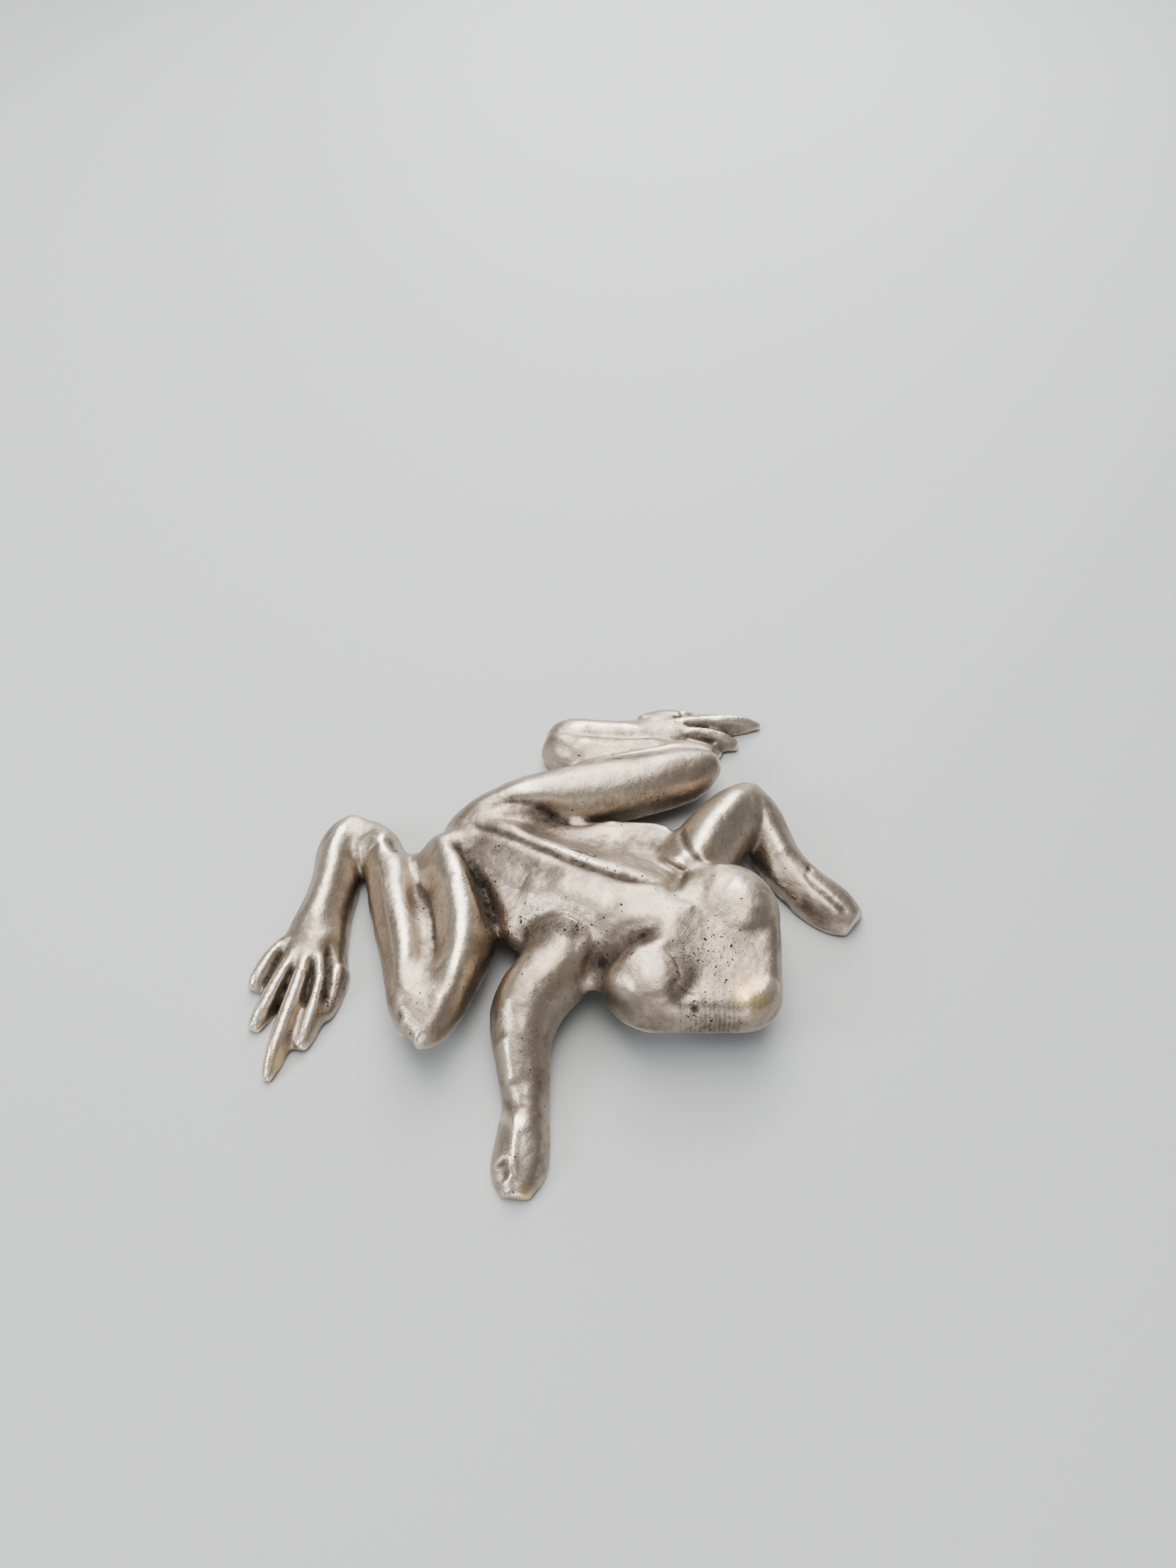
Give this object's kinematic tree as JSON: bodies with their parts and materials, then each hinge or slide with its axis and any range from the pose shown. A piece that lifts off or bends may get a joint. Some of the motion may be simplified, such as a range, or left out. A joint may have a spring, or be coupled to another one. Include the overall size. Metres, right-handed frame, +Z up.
{
  "type": "cast metal frog ornament",
  "caption": "Crawling frog cast in aged silvery metal, low and spread out, with folded hind legs, long toes, a broad raised head and a back left open underneath; stands on its hands and feet.",
  "frame": {"origin": "on the surface the frog stands on, under the centre of its bounding box", "axes": "the frog faces -Y, +X is the frog's own left, +Z is up"},
  "size_m": [0.1112, 0.0918, 0.0176],
  "materials": {
    "cast_silver": "silver plate over cast brass, hand-filed, dark brown in the creases, polished on the ridges, warm yellow where the plate is worn through"
  },
  "bodies": {
    "root": {"torso": "cast_silver", "head": "cast_silver", "right_thigh": "cast_silver", "right_shank": "cast_silver", "right_foot": "cast_silver", "left_thigh": "cast_silver", "left_shank": "cast_silver", "left_foot": "cast_silver", "right_upper_arm": "cast_silver", "right_forearm": "cast_silver", "right_hand": "cast_silver", "left_upper_arm": "cast_silver", "left_forearm": "cast_silver", "left_hand": "cast_silver"}
  },
  "joints": []
}
